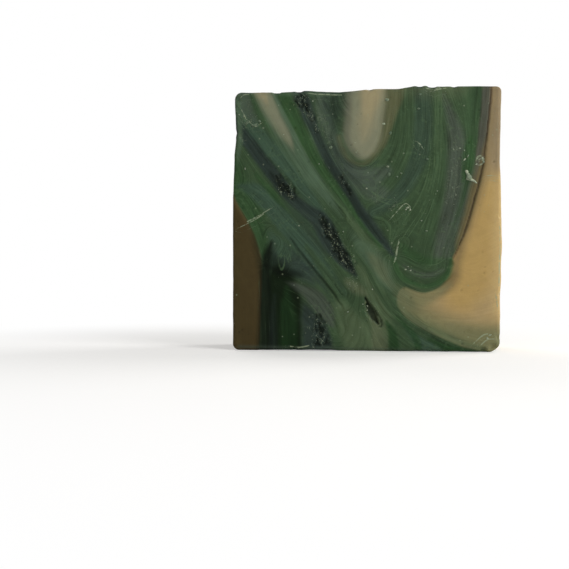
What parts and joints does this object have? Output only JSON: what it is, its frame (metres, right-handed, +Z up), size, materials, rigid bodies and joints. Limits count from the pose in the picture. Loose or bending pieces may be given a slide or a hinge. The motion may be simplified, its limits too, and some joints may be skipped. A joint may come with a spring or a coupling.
{
  "type": "bar of soap",
  "caption": "Square slab of handmade soap with softened edges, flat cut faces, a gently uneven poured top and a marbled swirl, standing on its edge.",
  "frame": {"origin": "middle of the bar's base, on the surface it stands on", "axes": "+Z up to the poured top; -Y out of the front cut face, through the slice; +X to the right as seen from the front"},
  "size_m": [0.0762, 0.0255, 0.0751],
  "materials": {
    "marbled_soap": "waxy, slightly translucent cold-process soap: cream, green and charcoal marbled together"
  },
  "bodies": {
    "root": {"soap_bar": "marbled_soap"}
  },
  "joints": []
}
